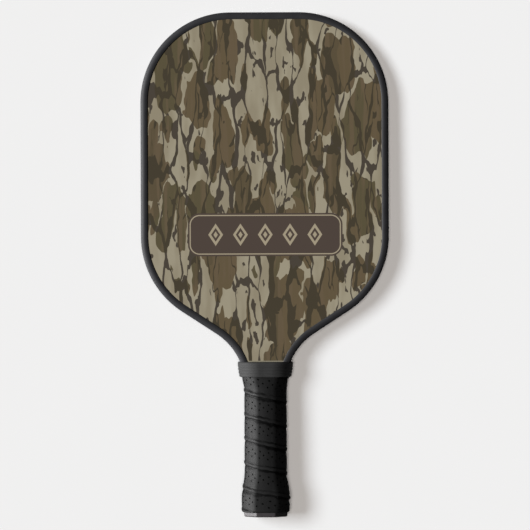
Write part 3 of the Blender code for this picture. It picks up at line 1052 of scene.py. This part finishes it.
def close_end(work, outer, inner):
    """A band of triangles between two rings. Going round, each point is joined to the
    one before it on its own ring, and to the latest one on the other ring."""
    turn = lambda vert: math.atan2(vert.co.z, vert.co.x)
    latest = [max(ring, key=turn) for ring in (outer, inner)]
    steps = [(turn(v), side, v) for side, ring in enumerate((outer, inner)) for v in ring]
    for _, side, vert in sorted(steps, key=lambda step: step[:2]):
        work.faces.new((latest[side], vert, latest[1 - side]))
        latest[side] = vert


def close_tape(work):
    """Adds the inside of the tape and joins it to the outside at both ends."""
    rim = {vert for edge in work.edges if len(edge.link_faces) == 1 for vert in edge.verts}
    middle_y = (tape_low + tape_high) / 2
    lower = [vert for vert in rim if vert.co.y < middle_y]
    upper = [vert for vert in rim if vert.co.y > middle_y]
    rings = inside_rings(work)
    close_end(work, lower, rings[0])
    close_end(work, upper, rings[-1])
    bmesh.ops.recalc_face_normals(work, faces=work.faces)
    print(f"tape: {work.calc_volume(signed=True) / MM**3 / 1000:.1f} cubic centimetres")
    for face in work.faces:
        face.smooth = True
    mesh = bpy.data.meshes.new("tape_strip")
    work.to_mesh(mesh)
    work.free()
    return mesh


tape_strip = close_tape(tape_outside)

# %% [markdown]
# ## Punching the holes
# The holes are about 1.4 mm across and go into the foam. Geometry Nodes punch them all
# at once: the faces marked on the grid are pushed in, and the floor of each hole is
# drawn together a little, as a real punch leaves it.

# %% A tree that punches marked faces
SHARP = math.radians(50)


def punch_tree():
    """The tree, and its inputs' identifiers. The marked faces are pushed in, and get a
    smaller floor and a sharp rim."""
    inputs = {
        "Strip": "geometry",
        "Hole Depth": "size",
        "Floor Size": "size",
        "Finish": "material",
    }
    tree, given, identifiers = start_tree("punch_holes", inputs, "Tape")
    named = {"Name": "punch"}
    marked = add(tree, "GeometryNodeInputNamedAttribute", named, 0, data_type="INT")
    inwards = add(tree, MATH, {0: given["Hole Depth"], 1: -1.0}, 0, operation="MULTIPLY")
    push = {
        "Mesh": given["Strip"],
        "Selection": marked,
        "Offset Scale": inwards,
        "Individual": False,
    }
    pushed = add(tree, "GeometryNodeExtrudeMesh", push, mode="FACES").outputs
    draw = {
        "Geometry": pushed["Mesh"],
        "Selection": pushed["Top"],
        "Scale": given["Floor Size"],
    }
    drawn = add(tree, "GeometryNodeScaleElements", draw, 0, domain="FACE")
    angle = add(tree, "GeometryNodeInputMeshEdgeAngle", out="Unsigned Angle")
    sharp = add(tree, "FunctionNodeCompare", {"A": angle, "B": SHARP}, 0)
    edges = {"Geometry": drawn, "Selection": sharp, "Shade Smooth": False}
    shaded = add(tree, "GeometryNodeSetShadeSmooth", edges, 0, domain="EDGE")
    end_tree(tree, shaded, given["Finish"])
    return tree, identifiers


holes_tree, holes_inputs = punch_tree()

# %% [markdown]
# ## The tape's leather
# The strip is cloth with a skin of polyurethane, embossed with a fine pebble. The grid
# left a number on each point, how far it stands up, and the finish reads it: raised laps
# are rubbed smoother, and the creases beside them get painted shade, near black. Noise
# alone would put that wear and that shade anywhere.

# %% Perforated synthetic leather
def perforated_leather():
    """Polyurethane-coated leather cloth: near black, slightly tacky, with a fine pebbled
    skin. The lapped edges are rubbed smoother. The creases are painted near black as shade,
    and so are the holes: the dark layer beneath, deepened by painted shade."""
    material, tree, shader = start_finish(
        "perforated_leather", "#1D1D1D", 0.5, IOR=1.45, Specular_IOR_Level=0.13
    )
    place = in_millimetres(tree)
    stands = add(tree, "ShaderNodeAttribute", None, "Fac", attribute_name="stands")
    rubbed = add(tree, RANGE, {"Value": stands, "From Min": 0.1, "From Max": 0.4}, 0)
    mottle = add(tree, NOISE, {"Vector": place, "Scale": 1 / 5.0, "Detail": 4.0}, 0)
    worn = add(tree, MIX, {0: 0.4, 2: mottle, 3: rubbed}, 0, data_type="FLOAT")
    vary(tree, shader, worn, ("#161616", "#1F1F1F"), (0.55, 0.45))
    skin = shader.inputs["Base Color"].links[0].from_socket
    # Painted shade: the creases beside the laps are darkened to near black, and so are the
    # holes, over their dark backing.
    ragged = add(tree, NOISE, {"Vector": place, "Scale": 1 / 2.0, "Detail": 2.0}, 0)
    ragged = {0: ragged, 1: 0.5, 2: stands}
    ragged = add(tree, MATH, ragged, 0, operation="MULTIPLY_ADD")
    crease = add(tree, RANGE, {"Value": ragged, "From Min": 0.02, "From Max": -0.12}, 0)
    hole = add(tree, "ShaderNodeAttribute", None, "Fac", attribute_name="punch")
    painted_shade = add(tree, MATH, {0: crease, 1: hole}, 0, operation="MAXIMUM")
    shade_colour = {0: painted_shade, 6: skin, 7: linear("#040404")}
    colour = add(tree, MIX, shade_colour, 2, data_type="RGBA")
    tree.links.new(colour, shader.inputs["Base Color"])
    # An embossed pebble is usually near 0.3 mm; it is drawn at 0.6 mm to show.
    pebble = {"Vector": place, "Scale": 1 / 0.6}
    pebble = add(tree, "ShaderNodeTexVoronoi", pebble, "Distance", feature="F1")
    bump = {"Height": pebble, "Distance": 0.05 * MM, "Strength": 1.0}
    tree.links.new(add(tree, "ShaderNodeBump", bump, 0), shader.inputs["Normal"])
    return material


tape_finish = perforated_leather()
print("finish:", tape_finish.name)

# %% Wind and punch the tape
FLOOR_SIZE = 0.8
values = {"Hole Depth": HOLE_DEPTH, "Floor Size": FLOOR_SIZE, "Finish": tape_finish}
wound_mesh = grow("wound_tape", tape_strip, holes_tree, holes_inputs, values)
wound_tape = stand_in("wound_tape", wound_mesh, tape_finish, "grip_tape")

# %% [markdown]
# ## The butt cap
# A hard plastic cap closes the handle, and its last few millimetres stick out below the
# tape. A bevelled block would do for the end, but the skirt flares under the tape, so
# it is lofted from rings as well: a dished middle, a rounded edge, the skirt that the
# tape is wound over, and back down the inside.

# %% Moulded ABS
def moulded_abs():
    """ABS from a satin mould, a dark warm grey that has dulled with handling."""
    material, tree, shader = start_finish(
        "moulded_abs", "#2C282A", 0.5, IOR=1.54, Specular_IOR_Level=0.35
    )
    # The grain of a satin mould is usually near 0.1 mm; it is drawn at 0.7 mm to show.
    moulded_skin(tree, shader, 4.0, ("#2A2628", "#393537"), (0.48, 0.58), 0.7, 0.015)
    return material


cap_finish = moulded_abs()
print("finish:", cap_finish.name)

# %% Loft the cap
# Half-width, half-thickness and chamfer of the bare handle
HANDLE = (15.1 * MM, 13.6 * MM, 8.4 * MM)
# A chamfer grows by this share of the growth when all eight sides move out alike.
CHAMFER_SHARE = 0.586
CAP_CORNER = 1.6 * MM
DISH_RADIUS, DISH_DEPTH = 10.5 * MM, 0.5 * MM
# Height above the butt and growth over the bare handle, up the outside
CAP_OUTSIDE = (
    (0.0, 1.2),
    (0.08, 1.6),
    (0.3, 1.95),
    (0.7, 2.18),
    (1.2, 2.3),
    (5.0, 2.3),
    (12.0, 2.7),
    (18.0, 2.9),
    (21.5, 2.0),
    (26.0, 1.2),
    (29.0, 0.7),
)
CAP_INSIDE = ((29.0, 0.15), (20.0, 0.15), (10.0, 0.15), (2.5, 0.15))


def cap_ring(y, growth):
    """Round the cap at height y, growth larger than the bare handle all round."""
    width, thick = HANDLE[0] + growth, HANDLE[1] + growth
    x, z = round_ring(AROUND, width, thick, HANDLE[2] + CHAMFER_SHARE * growth, CAP_CORNER)
    return np.column_stack([x, np.full_like(x, y), z])


def dish_ring(radius, y):
    """A circle about the handle's middle at height y."""
    angle = math.pi - AROUND * 2 * math.pi
    x, z = radius * np.cos(angle), radius * np.sin(angle)
    return np.column_stack([x, np.full_like(angle, y), z])


cap_rings = [
    dish_ring(DISH_RADIUS * 0.5, DISH_DEPTH),
    dish_ring(DISH_RADIUS - 0.3 * MM, DISH_DEPTH),
    dish_ring(DISH_RADIUS - 0.05 * MM, DISH_DEPTH * 0.7),
    dish_ring(DISH_RADIUS, DISH_DEPTH * 0.3),
    dish_ring(DISH_RADIUS + 0.3 * MM, 0.0),
]
cap_rings += [cap_ring(y * MM, growth * MM) for y, growth in CAP_OUTSIDE + CAP_INSIDE]
cap_mesh = tube("end_cap", cap_rings)
stand_in("end_cap", cap_mesh, cap_finish, "butt_cap")

# %% [markdown]
# ## The pieces inside
# These solids are right as the CAD has them, and most can't be seen. Each still gets
# the finish of what it is, because a part library is also looked at piece by piece.

# %% Plain finishes for the inner pieces
def plain_finish(name, colours, roughnesses, spark, depth, **on_shader):
    """A material with blotches and a fine relief, for a piece that keeps its CAD shape."""
    material, tree, shader = start_finish(name, colours[0], roughnesses[0], **on_shader)
    moulded_skin(tree, shader, spark * 4, colours, roughnesses, spark, depth)
    return material


# Extruded polypropylene is milky; polyester fleece is felted; the laminate shows its
# glass; the shells are cast foam; the staples are galvanised wire; vinyl tape shines.
# Fibres, foam cells and zinc grain are finer than this, and are drawn coarse to show.
core = plain_finish("extruded_polypropylene", ("#E4E4DE", "#F0F0EA"), (0.4, 0.5), 1.0, 0.01)
fleece = plain_finish("polyester_fleece", ("#DADAD6", "#ECECEA"), (0.85, 0.95), 0.4, 0.05)
laminate = plain_finish("glass_laminate", ("#272A26", "#343832"), (0.35, 0.5), 1.2, 0.02)
foam = plain_finish("cast_urethane_foam", ("#B59E6E", "#C9B384"), (0.75, 0.9), 0.6, 0.06)
wire = plain_finish(
    "galvanised_wire", ("#9C9DA0", "#B9BABD"), (0.3, 0.45), 0.3, 0.01, Metallic=1.0
)
vinyl = plain_finish("vinyl_tape", ("#121213", "#1C1C1D"), (0.2, 0.3), 0.8, 0.01)
for material, nodes in (
    (core, ("honeycomb_core",)),
    (fleece, ("front_veil", "back_veil")),
    (laminate, ("front_face_sheet", "back_face_sheet")),
    (foam, ("front_handle_half", "back_handle_half")),
    (wire, ("butt_cap_staple_front", "butt_cap_staple_back")),
    (vinyl, ("finishing_tape",)),
):
    for node in nodes:
        refinish(node, material)

# %% [markdown]
# ## Floor
# The paddle rests on its collar and on the far end of its blade. The paddle could be
# tipped on to a level table, but its frame has to stay square to the blade. So the table
# tilts by about two degrees to touch both.

# %% A sheet of matt paper
def matt_paper():
    """Uncoated pale paper: an even tone with no shine at all."""
    material, tree, shader = start_finish(
        "matt_paper", "#E9E9E9", 0.9, Specular_IOR_Level=0.0
    )
    moulded_skin(tree, shader, 60.0, ("#E9E9E9", "#EAEAEA"), (0.88, 0.92), 0.5, 0.002)
    return material


# Where the paddle rests, as (y, z): on the collar's ribs and near the end of the blade
collar_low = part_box("grip_collar")[0]
rest_near = (118.0 * MM, collar_low.z)
rest_far = (400.0 * MM, -lip_over)
slope = (rest_far[1] - rest_near[1]) / (rest_far[0] - rest_near[0])
FLOOR_HALF, FLOOR_GAP = 9.0, 0.02 * MM


def floor_corner(x, y):
    """A corner of the floor, on the tilted plane just under both resting places."""
    return x, y, rest_near[1] - FLOOR_GAP + slope * (y - rest_near[0])


sides = ((-1, -1), (1, -1), (1, 1), (-1, 1))
corners = [floor_corner(x * FLOOR_HALF, y * FLOOR_HALF) for x, y in sides]
floor_mesh = bpy.data.meshes.new("floor")
floor_mesh.from_pydata(corners, [], [(0, 1, 2, 3)])
floor_mesh.materials.append(matt_paper())
floor = bpy.data.objects.new("floor", floor_mesh)
bpy.context.scene.collection.objects.link(floor)
floor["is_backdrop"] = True
# A studio stands black flags round dark goods, so that the bright table isn't mirrored
# in them. Here the floor is left out of reflections instead.
floor.visible_glossy = False
print(f"the floor tilts by {math.degrees(math.atan(slope)):.2f} degrees")

# %% [markdown]
# ## Light and camera
# Two soft suns light the table. One stands at the upper left and draws the short shadow
# on the right, and the other fills it from almost straight above. Black goods need light
# of their own, as in any product studio: a lower sun that leaves their right-hand bevels
# dark, and a long low strip whose reflection draws the left-hand bevels. Light linking
# says what each light reaches: the table, the whole paddle, or only the pieces that
# aren't printed film.

# %% Lights
table_group, paddle_group, black_group = (
    bpy.data.collections.new(name) for name in ("table", "paddle", "black_goods")
)
table_group.objects.link(floor)
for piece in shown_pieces():
    paddle_group.objects.link(piece)
    if not piece.name.endswith("film"):
        black_group.objects.link(piece)
# The lights stand round the middle of the paddle.
middle = Vector((0.0, 0.2, 0.0))


def shine(name, kind, towards, reaches, energy, colour="#FFFFFF", **settings):
    """A light that stands at towards, seen from the paddle, and looks back at it."""
    lamp = bpy.data.lights.new(name, kind)
    lamp.energy, lamp.color = energy, linear(colour)[:3]
    for setting, value in settings.items():
        setattr(lamp, setting, value)
    light = bpy.data.objects.new(name, lamp)
    light.location = middle + Vector(towards)
    light.rotation_euler = (-Vector(towards)).to_track_quat("-Z", "Y").to_euler()
    light.light_linking.receiver_collection = reaches
    bpy.context.scene.collection.objects.link(light)
    print(f"{name}: {kind.lower()}, {energy}")


soft, softer, softest = (math.radians(a) for a in (12, 15, 24))
shine("table_key", "SUN", (-1.0, 0.2, 1.42), table_group, 2.2, "#F4FAFF", angle=softest)
shine("table_fill", "SUN", (-0.03, 0.0, 1.5), table_group, 1.62, "#FFF8F2", angle=soft)
shine("paddle_key", "SUN", (-1.1, 0.1, 1.0), paddle_group, 4.4, angle=softer)
strip_size = {"shape": "RECTANGLE", "size": 8.0, "size_y": 1.4}
# The strip spares the film, which it would turn white in views from the right.
shine("strip", "AREA", (-7.0, 0.0, 0.5), black_group, 1600.0, **strip_size)
world = bpy.data.worlds.new("glow")
world.use_nodes = True
world.node_tree.nodes["Background"].inputs["Color"].default_value = linear("#FFFAF6")
world.node_tree.nodes["Background"].inputs["Strength"].default_value = 0.04
bpy.context.scene.world = world

# %% Camera
lens = bpy.data.cameras.new("camera")
lens.lens, lens.sensor_width = 250.0, 36.0
lens.clip_start, lens.clip_end = 0.05, 50.0
camera = bpy.data.objects.new("camera", lens)
film_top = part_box("front_print_film")[1].z
CAMERA_HEIGHT, CAMERA_TURN = 2.968, math.radians(-0.21)
camera.location = (0.0, 203.0 * MM, film_top + CAMERA_HEIGHT)
camera.rotation_euler = (0.0, 0.0, CAMERA_TURN)
bpy.context.scene.collection.objects.link(camera)
bpy.context.scene.camera = camera
bpy.context.scene.view_settings.view_transform = "Standard"
print(f"camera {CAMERA_HEIGHT} m over the film, with a {lens.lens:.0f} mm lens")
